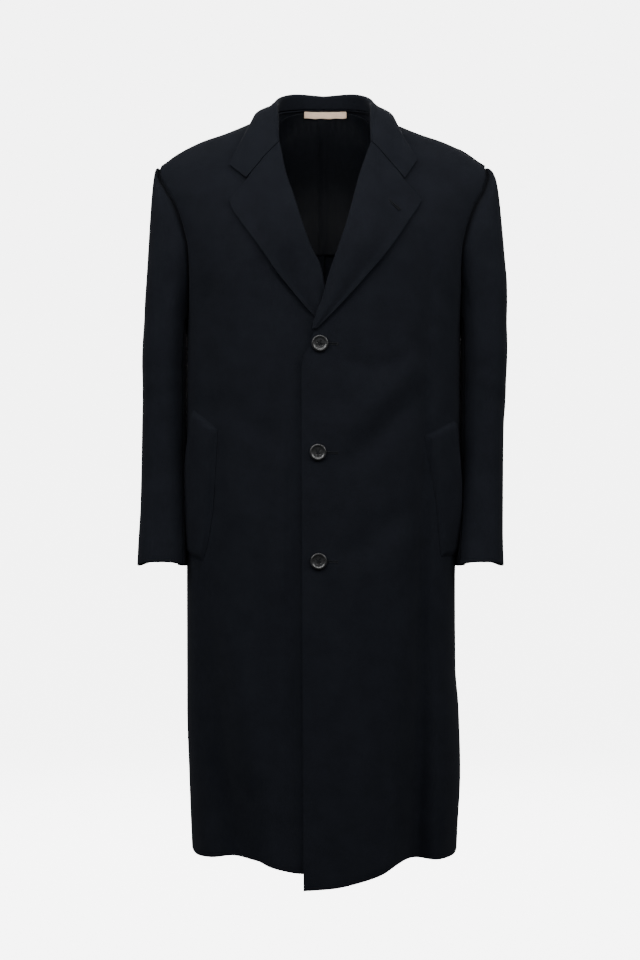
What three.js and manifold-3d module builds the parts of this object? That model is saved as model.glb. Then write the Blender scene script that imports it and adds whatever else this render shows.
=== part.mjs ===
// Long single-breasted wool overcoat, filled out and hollow.
// Millimetres, +Z up. The front faces -Y and +X is the wearer's left. The origin is on the
// figure's middle line, at the level where the neck meets the shoulders.

import * as THREE from "three";
import { mergeVertices } from "three/addons/utils/BufferGeometryUtils.js";
import Module from "manifold-3d";

const { lerp, smoothstep, clamp, degToRad } = THREE.MathUtils;
const wasm = await Module();
wasm.setup();

// Cloth: wall, gap at seams, and how far a piece that lies on a panel stands off it
const WALL = 2.5;
const GAP = 0.4;
const LAYER = WALL + GAP;
const SLACK = 0.8;
const OVERLAY = LAYER + SLACK;
const LINING_WALL = 1;
const EDGE_INSET = 0.5 * GAP;

// Direction of each side along X, left and right being the wearer's
const SIDES = { right: -1, left: 1 };

// Columns and rows of each panel's grid, and how far its rows close up towards the shoulder
const GRIDS = {
  front: { columns: 18, rows: 30 },
  back: { columns: 14, rows: 28 },
  lapel: { columns: 6, rows: 16 },
  sleeve: { upper: 14, under: 8, cap: 9, lower: 11 },
  collar: { back: 7, front: 5, arc: 3 },
  welt: { columns: 4, rows: 10 },
  lining: { columns: 9, rows: 9 },
  label: { columns: 8, rows: 2 },
};
const ROW_CLOSING = 1.5;
const SHOULDER_ROWS = 0.12;

// Body form: half widths to the wearer's right and left, by height
const BODY = {
  z: [-1200, -1130, -1040, -938, -874, -735, -620, -530, -345, -319, -262, -222, -186, -148,
    -121, -88, -60, 40],
  right: [207, 210, 213, 216, 216, 216, 216, 216, 215, 215.5, 220, 227, 238, 254,
    270, 281, 285, 300],
  left: [215, 218, 222, 219, 214, 213, 219, 220, 221, 223, 228, 236, 247, 263,
    276, 286, 290, 300],
};

// Depth of the front and the back from the side seams, and how square a level section is
const DEPTH = {
  z: [-1200, -900, -700, -500, -300, -150, -20, 40],
  front: [158, 155, 153, 152, 150, 146, 143, 140],
  back: [145, 126, 113, 109, 119, 119, 112, 108],
  square: [2.1, 2.4, 2.6, 2.6, 2.6, 2.6, 2.6, 2.6],
};

// Top line of the shoulders, by distance from the middle
const RIDGE = {
  x: [0, 79, 96, 115, 154, 192, 230, 250, 262, 280, 300],
  z: [12, 10, 1, -8, -24, -37, -56, -70, -78, -95, -115],
};
const SHOULDER = {
  front: { drop: 240, power: 1.6 },
  back: { drop: 140, power: 1.8 },
};

// Neck opening
const NECK = { middle: 3.5, half: 78, back: 80, side: 8, rise: 23, power: 2.2 };

// Armhole seam as seen from the front
const UNDERARM = -345;
const SHOULDER_TOP = -76;
const ARMHOLE = {
  z: [UNDERARM, -319, -280, -262, -222, -186, -148, -122, -90, SHOULDER_TOP],
  right: [215, 211.5, 209.7, 209.4, 210.6, 217.9, 230.5, 244.3, 259, 259],
  left: [221, 219.5, 220.8, 219.6, 220.5, 227.5, 240.5, 254, 262.5, 261],
};

// Front edge and roll line of each front, by height
const FRONT_EDGE = {
  left: {
    z: [-1200, -395, -375, -332, -300, -270, -234, -188, -149, -110, -76, -48, -21, 8],
    x: [-28, -31, -22, -11, 1, 9, 21, 36.5, 47, 57, 68, 77, 80, 79],
  },
  right: {
    z: [-1200, -375, -322, -264, -247, -229, -188, -140, -106, -57, -39, -7, 8],
    x: [22, 22, 12, 1, -4, -13.6, -29, -44, -55, -65, -70, -72.5, -72.5],
  },
};
const BREAK = -375;
const BREAK_BLEND = 25;

// How far the right front lies behind the left one where they cross
const UNDERLAP = {
  across: [-80, -36],
  high: LAYER + OVERLAY + SLACK,
  low: LAYER + SLACK,
  lowered: [-450, -385],
  fade: [170, 260],
};

// Hem heights across the front
const HEM = {
  level: -1170,
  blend: 110,
  left: {
    x: [-30, 20, 55, 90, 118, 130, 157, 186, 208, 216],
    z: [-1199, -1195, -1188, -1178, -1165, -1163, -1165, -1166, -1166, -1159],
  },
  right: {
    x: [0, 36, 64, 82, 100, 138, 177, 198, 208],
    z: [-1175, -1174, -1169, -1164, -1158, -1158, -1162, -1164, -1158],
  },
};

// Folds that fall down the skirt: where each runs, how wide it is and how deep it gets, from the
// top down at the four heights
const FOLD_HEIGHTS = [-240, -560, -880, -1170];
const FOLD_FADE = { top: 60, side: 0.15 };
const FOLDS = [
  { face: "front", top: -240, x: [168, 160, 153, 145], reach: 24, depth: [3, 8, 18, 42] },
  { face: "front", top: -240, x: [-184, -165, -172, -132], reach: 28, depth: [3, 6, 12, 30] },
  { face: "back", top: -420, x: [95, 100, 108, 118], reach: 34, depth: [0, 4, 12, 26] },
  { face: "back", top: -420, x: [-90, -98, -110, -122], reach: 32, depth: [0, 5, 14, 28] },
];

// Sleeve form, by height. "cap" says how soon the cloth reaches its full width and depth below the
// armhole, and "cornerDrop" how much lower the cuff's side corners hang than its front
const SLEEVE = {
  cuff: -706,
  capEnd: -400,
  pitch: Math.tan(degToRad(2.5)),
  cornerDrop: 6,
  shapedBelow: -560,
  square: 2.3,
  cap: { top: 0.1, under: 0.45, depth: 0.48 },
  seamShift: 0.6,
  outer: {
    z: [-714, -675, -617, -490, -458, -393, -345, -265, -236, -170, -122, -105, -89, SHOULDER_TOP],
    right: [290, 289, 286.5, 285, 284.5, 285.5, 285, 280.5, 279, 276, 273.5, 272, 270, 259],
    left: [285.5, 285, 286, 288.5, 291, 294, 296, 297, 295, 291, 288, 286, 280, 261],
  },
  inner: { z: [-714, -530, -345], right: [221, 221, 220], left: [222, 226, 227] },
  depth: { z: [-714, -620, -500, -430, -345, -76], half: [57, 64, 75, 82, 88, 88] },
  middle: { z: [-714, -665, -620, -560, -500, -430, -345, -76], y: [-44, -31, -21, -12, -5, 0, 4, 0] },
};
const SLEEVE_SEAM = { front: 150, back: 285, gap: 0.2 };

// Lapel: outer edge of each lapel below its tip, and the height where its top edge starts
const LAPEL = {
  left: {
    top: -59,
    z: [-350, -340, -320, -293, -263, -233, -205, -183, -160, -149],
    x: [-9, 1.5, 21, 46, 72, 97, 117, 131, 146.5, 152.5],
  },
  right: {
    top: -59,
    z: [-345, -338, -330, -322, -296, -264, -227, -191, -161, -150],
    x: [9, 1, -10.6, -19, -41.5, -67, -92, -118, -137.6, -141.5],
  },
};

// Collar: height of the stand and size of the roll, and on each side the fall's outer edge from the
// middle of the back to its tip, as a drop from the shoulder line, behind it where below 0. "turn"
// runs from 0 at the middle of the back over 1 at the side to 2 at the front end
const COLLAR = {
  stand: { turn: [0, 0.45, 0.7, 1], height: [21.5, 26, 24, 16.5] },
  sideRow: 5,
  roll: { back: 5, front: LAYER },
  middle: { back: 1, front: 0 },
  lean: 0.12,
  bulge: 7,
  lift: 4.4,
  endLift: 1.6,
  endingFrom: 1.4,
  left: {
    x: [3.5, 30, 62, 88, 105, 112, 125, 138.5, 144.4],
    drop: [-43, -42, -37, -24, -10, 4, 32, 54, 66],
    notch: { x: 126.5, z: -115 },
    gorge: { x: 78, z: -56 },
    end: -54.5,
  },
  right: {
    x: [3.5, -23, -55, -81, -98, -105, -118, -133, -140.3],
    drop: [-43, -42, -37, -24, -10, 5, 30, 58, 76],
    notch: { x: -115.6, z: -114.7 },
    gorge: { x: -68, z: -56 },
    end: -54.5,
  },
};

// Pocket welts: seam to the front and open edge, from the bottom up
const WELT = {
  left: {
    seam: { z: [-697, -673, -625, -564, -512], x: [184, 181, 177.3, 168, 157] },
    open: { z: [-696, -625, -487], x: [209, 210, 206] },
    gape: 6,
  },
  right: {
    seam: { z: [-704, -684, -619, -560, -502], x: [-185, -178, -167, -163, -160] },
    open: { z: [-695, -576, -470], x: [-207, -211, -199] },
    gape: 2,
  },
};

// Half lining and label inside the back
const LINING = { bottom: -205, neckDrop: 3, shoulderDrop: 14, inset: 10, slack: 2 };
const LABEL = { middle: 6, width: 75, height: 10, top: 28, slack: 1.8 };

// Buttons
const BUTTON = {
  diameter: 25.5,
  thick: 4,
  rim: 3,
  dish: 1.4,
  bevel: 0.8,
  hole: 2,
  holeRing: 3.4,
  places: {
    top: { x: -3, z: -372 },
    middle: { x: -6, z: -537 },
    bottom: { x: -5, z: -702 },
  },
};

// Colours and finishes
const FINISH = {
  wool: { color: 0x1b1c22, roughness: 0.95, metalness: 0 },
  lining: { color: 0x131419, roughness: 0.45, metalness: 0 },
  label: { color: 0xd6c4b2, roughness: 0.7, metalness: 0 },
  button: { color: 0x24252a, roughness: 0.35, metalness: 0 },
};

// A smooth curve through values given at rising places, with no overshoot
function curve(at, value) {
  const last = at.length - 1;
  const rise = at.slice(1).map((a, i) => (value[i + 1] - value[i]) / (a - at[i]));
  const slope = at.map((_, i) => {
    const before = rise[Math.max(i - 1, 0)];
    const after = rise[Math.min(i, last - 1)];
    return before * after > 0 ? (2 * before * after) / (before + after) : 0;
  });
  return (place) => {
    const x = clamp(place, at[0], at[last]);
    const i = Math.min(at.findLastIndex((a) => a <= x), last - 1);
    const step = at[i + 1] - at[i];
    const t = (x - at[i]) / step;
    const mixed = lerp(value[i], value[i + 1], t * t * (3 - 2 * t));
    return mixed + step * t * (1 - t) * ((1 - t) * slope[i] - t * slope[i + 1]);
  };
}

const halfWidth = { right: curve(BODY.z, BODY.right), left: curve(BODY.z, BODY.left) };
const depth = { front: curve(DEPTH.z, DEPTH.front), back: curve(DEPTH.z, DEPTH.back) };
const square = curve(DEPTH.z, DEPTH.square);
const ridgeLine = curve(RIDGE.x, RIDGE.z);
const armhole = { right: curve(ARMHOLE.z, ARMHOLE.right), left: curve(ARMHOLE.z, ARMHOLE.left) };
const hem = { right: curve(HEM.right.x, HEM.right.z), left: curve(HEM.left.x, HEM.left.z) };
const sideOf = (x) => (x < 0 ? "right" : "left");

// Rises from 0 with a steep start to 1
function round(t, power) {
  return (1 - (1 - clamp(t, 0, 1)) ** power) ** (1 / power);
}

// Depth of the back of the neck opening at a distance from its middle
function neckDepth(x) {
  const u = Math.min(Math.abs(x - NECK.middle) / NECK.half, 1);
  return NECK.back * (1 - u ** NECK.power) ** (1 / NECK.power);
}

// Top of the body at x: the shoulder line, or at the back the neck seam
function topOf(x, face) {
  const inNeck = face === "back" && Math.abs(x - NECK.middle) < NECK.half;
  return inNeck ? NECK.side + (NECK.rise * neckDepth(x)) / NECK.back : ridgeLine(Math.abs(x));
}

const rising = FOLD_HEIGHTS.toReversed();
const foldCurves = FOLDS.map((fold) => ({
  ...fold,
  place: curve(rising, fold.x.toReversed()),
  deep: curve(rising, fold.depth.toReversed()),
}));

// How far the folds draw the cloth in
function foldDepth(x, z, face) {
  return foldCurves
    .filter((fold) => fold.face === face)
    .map((fold) => {
      const off = (x - fold.place(z)) / fold.reach;
      const shown = smoothstep(fold.top - z, -FOLD_FADE.top, FOLD_FADE.top);
      return fold.deep(z) * Math.exp(-off * off) * shown;
    })
    .reduce((sum, part) => sum + part, 0);
}

// Outer point of the body at x and z
function bodyPoint(x, z, face) {
  const u = Math.min(Math.abs(x) / halfWidth[sideOf(x)](z), 1);
  const power = square(z);
  const shoulder = SHOULDER[face];
  const start = face === "back" ? neckDepth(x) : 0;
  const full = depth[face](z) * (1 - u ** power) ** (1 / power);
  const fall = clamp((topOf(x, face) - z) / shoulder.drop, 0, 1);
  const inNeck = start / NECK.back;
  const out = lerp(start, full, lerp(round(fall, shoulder.power), 1 - (1 - fall) ** 2, inNeck));
  const fold = foldDepth(x, z, face) * smoothstep(1 - u, 0, FOLD_FADE.side);
  const y = Math.max(out - fold, EDGE_INSET);
  return new THREE.Vector3(x, face === "front" ? -y : y, z);
}

// A point over the body's outer face, moved out along the face's normal
function over(x, z, face, lift) {
  const step = 1;
  const here = bodyPoint(x, z, face);
  const across = bodyPoint(x + step, z, face).sub(bodyPoint(x - step, z, face));
  const down = bodyPoint(x, z - step, face).sub(here);
  const normal = face === "front" ? down.cross(across) : across.cross(down);
  return here.addScaledVector(normal.normalize(), lift);
}

// How far the right front lies behind the form
function underlap(x, z) {
  const deep = lerp(UNDERLAP.low, UNDERLAP.high, smoothstep(z, ...UNDERLAP.lowered));
  return deep * smoothstep(x, ...UNDERLAP.across) * smoothstep(-z, ...UNDERLAP.fade);
}

// A point over a front, moved out, with the right front's set-back
function overFront(side, x, z, lift) {
  return over(x, z, "front", side === "right" ? lift - underlap(x, z) : lift);
}

// A closed wall of cloth whose outer points are the grid's. Its middle faces roughly "faces", and
// "before" and "after" are the lines next to its first and last, if it goes on past them.
function wall(grid, thick, faces, before = grid[0], after = grid.at(-1)) {
  const rows = grid.length;
  const columns = grid[0].length;
  const lines = [before, ...grid, after];
  const at = (r, c) => lines[r + 1][clamp(c, 0, columns - 1)];
  const normalAt = (r, c) => {
    const along = at(r, c + 1).clone().sub(at(r, c - 1));
    return along.cross(at(r + 1, c).clone().sub(at(r - 1, c))).normalize();
  };
  const turn = Math.sign(normalAt(rows >> 1, columns >> 1).dot(faces));
  const points = [];
  grid.forEach((row) => row.forEach((point) => points.push(point)));
  grid.forEach((row, r) => row.forEach((point, c) => {
    const normal = normalAt(r, c).multiplyScalar(turn);
    if (Math.abs(point.y) < GAP) normal.setY(0).normalize();
    points.push(point.clone().addScaledVector(normal, -thick));
  }));

  const index = [];
  const inner = rows * columns;
  const quad = (a, b, c, d) => index.push(...(turn > 0 ? [a, b, c, a, c, d] : [a, c, b, a, d, c]));
  for (let r = 0; r < rows - 1; r += 1) {
    for (let c = 0; c < columns - 1; c += 1) {
      const a = r * columns + c;
      quad(a, a + 1, a + columns + 1, a + columns);
      quad(inner + a, inner + a + columns, inner + a + columns + 1, inner + a + 1);
    }
  }
  const rim = [];
  for (let c = 0; c < columns - 1; c += 1) rim.push(c);
  for (let r = 0; r < rows - 1; r += 1) rim.push(r * columns + columns - 1);
  for (let c = columns - 1; c > 0; c -= 1) rim.push((rows - 1) * columns + c);
  for (let r = rows - 1; r > 0; r -= 1) rim.push(r * columns);
  rim.forEach((a, i) => {
    const b = rim[(i + 1) % rim.length];
    quad(a, inner + a, inner + b, b);
  });

  const geometry = new THREE.BufferGeometry().setFromPoints(points);
  geometry.setIndex(index);
  geometry.computeVertexNormals();
  return geometry;
}

const coat = new THREE.Group();

function add(name, geometry, finish) {
  const mesh = new THREE.Mesh(geometry, new THREE.MeshStandardMaterial(FINISH[finish]));
  mesh.name = name;
  coat.add(mesh);
}

const steps = (count) => Array.from({ length: count + 1 }, (_, i) => i / count);

// Inner edge of a front: its front edge below, its roll line above, less the lapel's turn
function frontEdge(side) {
  const edge = curve(FRONT_EDGE[side].z, FRONT_EDGE[side].x);
  const inset = SIDES[side] * (LAYER + SLACK);
  return (z) => edge(z) + inset * smoothstep(z, BREAK - BREAK_BLEND, BREAK);
}

// One grid for a front or half a back, from its middle edge to its side seam and armhole
function panelGrid(side, face, middleAt, place) {
  const sign = SIDES[side];
  const { columns, rows } = GRIDS[face];
  return steps(rows).map((t) => {
    const below = (1 - t) ** ROW_CLOSING;
    const outerZ = lerp(SHOULDER_TOP, HEM.level, below);
    const middleZ = lerp(topOf(middleAt(NECK.side), face), HEM.level, below);
    const width = halfWidth[side](outerZ);
    const outer = outerZ < UNDERARM ? width : armhole[side](outerZ);
    const middle = middleAt(middleZ) * sign;
    const from = Math.asin(middle / width);
    const to = Math.asin(Math.min(outer / width, 1));
    const topAt = (x) => topOf(x * sign, face);
    return steps(columns).map((s) => {
      const x = width * Math.sin(lerp(from, to, s));
      const part = (x - middle) / (outer - middle);
      const bow = topAt(x) - lerp(topAt(middle), topAt(outer), part);
      const z = lerp(middleZ, outerZ, part) + bow * (1 - smoothstep(below, 0, SHOULDER_ROWS));
      const drop = face === "front" ? hem[side](x) - HEM.level : 0;
      const height = z + drop * smoothstep(HEM.level + HEM.blend - z, 0, HEM.blend);
      const onSeam = s === 1 && outerZ < UNDERARM;
      return place(sign * (onSeam ? halfWidth[side](height) : x), height);
    });
  });
}

const FORWARD = new THREE.Vector3(0, -1, 0);
const BACKWARD = new THREE.Vector3(0, 1, 0);

function addFront(side) {
  const place = (x, z) => overFront(side, x, z, 0);
  const grid = panelGrid(side, "front", frontEdge(side), place);
  add(`front_${side}`, wall(grid, WALL, FORWARD), "wool");
}

function addBack(side) {
  const middle = NECK.middle + SIDES[side] * GAP;
  const place = (x, z) => bodyPoint(x, z, "back");
  const grid = panelGrid(side, "back", () => middle, place);
  add(`back_${side}`, wall(grid, WALL, BACKWARD), "wool");
}

// A lapel turns round the front's roll line and lies on the front
function addLapel(side) {
  const sign = SIDES[side];
  const { top, z, x } = LAPEL[side];
  const roll = curve(FRONT_EDGE[side].z, FRONT_EDGE[side].x);
  const outer = curve(z, x);
  const grid = steps(GRIDS.lapel.rows).map((t) => {
    const rollZ = lerp(top, z[0], t);
    const outerZ = lerp(z.at(-1), z[0], t);
    const edge = roll(rollZ) + sign * LAYER;
    const turn = [0, 45, 90].map((angle) => {
      const shift = -sign * LAYER * Math.cos(degToRad(angle));
      return overFront(side, edge, rollZ, OVERLAY * Math.sin(degToRad(angle))).setX(edge + shift);
    });
    const under = overFront(side, edge, rollZ, -WALL).setX(edge - sign * LAYER);
    const lying = steps(GRIDS.lapel.columns).slice(1).map((s) => (
      overFront(side, lerp(edge, outer(outerZ), s), lerp(rollZ, outerZ, s), OVERLAY)
    ));
    return [under, ...turn, ...lying];
  });
  add(`lapel_${side}`, wall(grid, WALL, FORWARD), "wool");
}

const standHeight = curve(COLLAR.stand.turn, COLLAR.stand.height);

// One line across the collar: up the stand, over the roll and down the fall to its outer edge
function collarLine(side, turn) {
  const sign = SIDES[side];
  const around = Math.min(turn, 1) * (Math.PI / 2);
  const down = Math.max(turn - 1, 0);
  const edgeX = frontEdge(side);
  const z = lerp(NECK.side, COLLAR[side].end, down);
  const power = 2 / NECK.power;
  const neckY = NECK.back * Math.cos(around) ** power;
  const seam = down > 0
    ? overFront(side, edgeX(z), z, 0)
    : new THREE.Vector3(
      NECK.middle + sign * NECK.half * Math.sin(around) ** power,
      neckY,
      NECK.side + (NECK.rise * neckY) / NECK.back,
    );
  const radial = new THREE.Vector3(sign * Math.sin(around), Math.cos(around), 0);
  const flat = over(edgeX(z), z, "front", 1).sub(over(edgeX(z), z, "front", 0));
  const out = radial.lerp(flat, down).normalize();
  const up = new THREE.Vector3(0, 0, 1).addScaledVector(radial, -COLLAR.lean).normalize()
    .lerp(new THREE.Vector3(-sign, 0, COLLAR.lean), down).normalize();
  const height = lerp(standHeight(turn), LAYER, down);
  const radius = lerp(COLLAR.roll.back, COLLAR.roll.front, down);
  const middle = lerp(COLLAR.middle.back, COLLAR.middle.front, down);
  const at = (rise, off) => seam.clone()
    .addScaledVector(up, rise + SLACK * down)
    .addScaledVector(out, off);

  const foot = at(lerp(GAP, LAYER, down), -WALL);
  const arc = steps(GRIDS.collar.arc).map((s) => {
    const angle = lerp(-90 * (1 - down), 90, s);
    const rise = height - radius + radius * Math.cos(degToRad(angle));
    return at(rise, middle + radius * Math.sin(degToRad(angle)));
  });
  const line = [foot, foot.clone().lerp(arc[0], 0.5), ...arc];
  return [...line, ...collarFall(side, turn, arc.at(-1), out)];
}

// Places across the fall: the third is where the notch begins
const FALL_PLACES = [0.35, 0.7, 0.85, 1];

function collarFall(side, turn, from, out) {
  const table = COLLAR[side];
  const last = table.x.length - 1;
  const along = turn < 1 ? turn * COLLAR.sideRow : lerp(COLLAR.sideRow, last, turn - 1);
  const rows = table.x.map((_, i) => i);
  const x = curve(rows, table.x)(along);
  const drop = curve(rows, table.drop)(along);
  const face = drop < 0 ? "back" : "front";
  const edge = over(x, topOf(x, face) - Math.abs(drop), face, OVERLAY + COLLAR.lift);
  const tip = { x: edge.x, z: edge.z };
  const ending = smoothstep(turn, COLLAR.endingFrom, 2);
  return FALL_PLACES.map((w) => {
    const point = from.clone().lerp(edge, w).addScaledVector(out, COLLAR.bulge * 4 * w * (1 - w));
    const notchPart = Math.min(w / FALL_PLACES[1], 1);
    const tipPart = Math.max(w - FALL_PLACES[1], 0) / (1 - FALL_PLACES[1]);
    const endX = lerp(lerp(table.gorge.x, table.notch.x, notchPart), tip.x, tipPart);
    const endZ = lerp(lerp(table.gorge.z, table.notch.z, notchPart), tip.z, tipPart);
    return settle(side, point.lerp(overFront(side, endX, endZ, OVERLAY + COLLAR.endLift), ending));
  });
}

// Moves a point of the fall out until it lies clear over the body
function settle(side, point) {
  const face = point.y < 0 ? "front" : "back";
  if (point.z > topOf(point.x, face) - GAP) return point;
  const body = over(point.x, point.z, face, OVERLAY);
  return Math.abs(point.y) < Math.abs(body.y) ? body : point;
}

function addCollar() {
  const turns = [...steps(GRIDS.collar.back), ...steps(GRIDS.collar.front).slice(1).map((s) => 1 + s)];
  const left = turns.map((turn) => collarLine("left", turn));
  const right = turns.slice(1).map((turn) => collarLine("right", turn)).reverse();
  add("collar", wall([...right, ...left], WALL, BACKWARD), "wool");
}

// Outer point of a sleeve: turn 0 is outermost, 90 the front, 180 beside the body
function sleeveRing(side, turn, z) {
  const sign = SIDES[side];
  const outer = sleeveCurves[side].outer(z);
  const inner = sleeveCurves[side].inner(z);
  const cos = Math.cos(degToRad(turn));
  const sin = Math.sin(degToRad(turn));
  const power = 2 / SLEEVE.square;
  const x = (outer + inner) / 2 + ((outer - inner) / 2) * Math.sign(cos) * Math.abs(cos) ** power;
  const off = -sleeveCurves.half(z) * Math.sign(sin) * Math.abs(sin) ** power;
  const drop = SLEEVE.cornerDrop * cos * cos + off * SLEEVE.pitch;
  const height = z - drop * smoothstep(-z, -SLEEVE.shapedBelow, -SLEEVE.cuff);
  return new THREE.Vector3(sign * x, sleeveCurves.middle(z) + off, height);
}

const sleeveCurves = {
  right: {
    outer: curve(SLEEVE.outer.z, SLEEVE.outer.right),
    inner: curve(SLEEVE.inner.z, SLEEVE.inner.right),
  },
  left: {
    outer: curve(SLEEVE.outer.z, SLEEVE.outer.left),
    inner: curve(SLEEVE.inner.z, SLEEVE.inner.left),
  },
  half: curve(SLEEVE.depth.z, SLEEVE.depth.half),
  middle: curve(SLEEVE.middle.z, SLEEVE.middle.y),
};

// A point on the armhole seam, by the same turn
function armholePoint(side, turn) {
  const sign = SIDES[side];
  const z = lerp(UNDERARM, SHOULDER_TOP, (1 + Math.cos(degToRad(turn))) / 2);
  const face = Math.sin(degToRad(turn)) >= 0 ? "front" : "back";
  const point = bodyPoint(sign * armhole[side](z), z, face);
  const overlap = WALL * Math.max(Math.cos(degToRad(turn)), 0);
  return point.setX(point.x + sign * (SLEEVE.seamShift + overlap));
}

// One line down a sleeve, out from the armhole over the cap and down to the cuff
function sleeveLine(side, turn) {
  const start = armholePoint(side, turn);
  const { top, under, depth: deepening } = SLEEVE.cap;
  const spread = lerp(top, under, Math.sin(degToRad(turn / 2)) ** 2);
  const cap = steps(GRIDS.sleeve.cap).map((t) => {
    const v = t * t;
    const ring = sleeveRing(side, turn, lerp(start.z, SLEEVE.capEnd, v));
    const x = lerp(start.x, ring.x, v ** spread);
    return new THREE.Vector3(x, lerp(start.y, ring.y, v ** deepening), ring.z);
  });
  const low = steps(GRIDS.sleeve.lower).slice(1).map((t) => (
    sleeveRing(side, turn, lerp(SLEEVE.capEnd, SLEEVE.cuff, t))
  ));
  return [...cap, ...low];
}

function addSleevePiece(name, side, from, to, columns) {
  const step = (to - from) / columns;
  const turns = steps(columns).map((s) => lerp(from + SLEEVE_SEAM.gap, to - SLEEVE_SEAM.gap, s));
  const line = (turn) => sleeveLine(side, turn);
  const faces = sleeveRing(side, (from + to) / 2, SLEEVE.capEnd)
    .sub(sleeveRing(side, (from + to) / 2 + 180, SLEEVE.capEnd));
  add(name, wall(turns.map(line), WALL, faces, line(from - step), line(to + step)), "wool");
}

function addSleeve(side) {
  const { front, back } = SLEEVE_SEAM;
  addSleevePiece(`sleeve_${side}_upper`, side, back - 360, front, GRIDS.sleeve.upper);
  addSleevePiece(`sleeve_${side}_under`, side, front, back, GRIDS.sleeve.under);
}

function addWelt(side) {
  const { seam, open, gape } = WELT[side];
  const seamX = curve(seam.z, seam.x);
  const openX = curve(open.z, open.x);
  const grid = steps(GRIDS.welt.rows).map((t) => {
    const seamZ = lerp(seam.z[0], seam.z.at(-1), t);
    const openZ = lerp(open.z[0], open.z.at(-1), t);
    return steps(GRIDS.welt.columns).map((s) => overFront(
      side,
      lerp(seamX(seamZ), openX(openZ), s),
      lerp(seamZ, openZ, s),
      OVERLAY + gape * s * s * Math.sin(Math.PI * t),
    ));
  });
  add(`welt_${side}`, wall(grid, WALL, FORWARD), "wool");
}

function addLining(side) {
  const sign = SIDES[side];
  const middle = NECK.middle + sign * EDGE_INSET;
  const grid = steps(GRIDS.lining.rows).map((t) => {
    const outer = armhole[side](lerp(LINING.bottom, SHOULDER_TOP, t)) - LINING.inset;
    return steps(GRIDS.lining.columns).map((s) => {
      const x = lerp(middle, sign * outer, s);
      const drop = lerp(LINING.shoulderDrop, LINING.neckDrop, neckDepth(x) / NECK.back);
      const z = lerp(LINING.bottom, topOf(x, "back") - drop, t);
      return over(x, z, "back", -(LAYER + LINING.slack));
    });
  });
  add(`lining_${side}`, wall(grid, LINING_WALL, BACKWARD), "lining");
}

function addLabel() {
  const lift = -(LAYER + LINING.slack + LINING_WALL + LABEL.slack);
  const { columns, rows } = GRIDS.label;
  const grid = steps(rows).map((t) => steps(columns).map((s) => over(
    LABEL.middle + LABEL.width * (s - 0.5),
    LABEL.top - LABEL.height * t,
    "back",
    lift,
  )));
  add("label", wall(grid, LINING_WALL, BACKWARD), "label");
}

function toSolid(geometry) {
  const merged = geometry.clone();
  merged.deleteAttribute("normal");
  merged.deleteAttribute("uv");
  const closed = mergeVertices(merged, 1e-4);
  return new wasm.Manifold(new wasm.Mesh({
    numProp: 3,
    vertProperties: Float32Array.from(closed.attributes.position.array),
    triVerts: Uint32Array.from(closed.index.array),
  }));
}

function fromSolid(solid) {
  const mesh = solid.getMesh();
  const geometry = new THREE.BufferGeometry();
  geometry.setAttribute("position", new THREE.BufferAttribute(mesh.vertProperties, 3));
  geometry.setIndex(new THREE.BufferAttribute(mesh.triVerts, 1));
  geometry.computeVertexNormals();
  return geometry;
}

// A four-hole button with a raised rim, its back on y = 0 and its face to -Y
function buttonGeometry() {
  const radius = BUTTON.diameter / 2;
  const { bevel } = BUTTON;
  const profile = [
    [0, 0],
    [radius - bevel, 0],
    [radius, bevel],
    [radius, BUTTON.thick - bevel],
    [radius - bevel, BUTTON.thick],
    [radius - BUTTON.rim, BUTTON.thick],
    [radius - BUTTON.rim - bevel, BUTTON.thick - BUTTON.dish],
    [0, BUTTON.thick - BUTTON.dish],
  ].map(([x, y]) => new THREE.Vector2(x, y));
  const holes = [45, 135, 225, 315].map((angle) => {
    const hole = new THREE.CylinderGeometry(BUTTON.hole / 2, BUTTON.hole / 2, 3 * BUTTON.thick, 8);
    const x = BUTTON.holeRing * Math.cos(degToRad(angle));
    return hole.translate(x, 0, BUTTON.holeRing * Math.sin(degToRad(angle)));
  });
  const disc = toSolid(new THREE.LatheGeometry(profile, 24));
  const drilled = holes.reduce((solid, hole) => solid.subtract(toSolid(hole)), disc);
  return fromSolid(drilled).rotateX(Math.PI);
}

function addButton(name, { x, z }) {
  add(`button_${name}`, buttonGeometry(), "button");
  const seat = bodyPoint(x, z, "front");
  coat.children.at(-1).position.set(x, seat.y - GAP, z);
}

["right", "left"].forEach((side) => {
  addBack(side);
  addFront(side);
  addLapel(side);
  addSleeve(side);
  addWelt(side);
  addLining(side);
});
addCollar();
addLabel();
Object.entries(BUTTON.places).forEach(([name, place]) => addButton(name, place));

export default coat;
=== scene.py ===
import bmesh
import bpy
import numpy as np
from mathutils import Matrix, Vector


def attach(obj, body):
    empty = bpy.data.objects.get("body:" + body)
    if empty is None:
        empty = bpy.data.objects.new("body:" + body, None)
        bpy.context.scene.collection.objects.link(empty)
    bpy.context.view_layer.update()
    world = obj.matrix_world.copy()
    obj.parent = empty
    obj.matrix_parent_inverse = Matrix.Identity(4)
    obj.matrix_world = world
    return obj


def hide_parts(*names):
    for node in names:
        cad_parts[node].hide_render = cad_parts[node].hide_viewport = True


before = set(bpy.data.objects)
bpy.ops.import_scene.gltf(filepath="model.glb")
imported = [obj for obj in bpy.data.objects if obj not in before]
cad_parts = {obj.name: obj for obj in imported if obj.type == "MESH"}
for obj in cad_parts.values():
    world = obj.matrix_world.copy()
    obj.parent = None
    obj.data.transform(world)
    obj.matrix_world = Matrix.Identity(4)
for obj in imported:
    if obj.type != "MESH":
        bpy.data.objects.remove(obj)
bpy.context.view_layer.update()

# A long single-breasted wool overcoat, filled out and hollow. The form is worked out in millimetres,
# with the front towards -Y and +X to the wearer's left, and every mesh is made in metres.
MM = 0.001
SIDES = {"right": -1, "left": 1}
FORWARD, BACKWARD = (0, -1, 0), (0, 1, 0)

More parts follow.
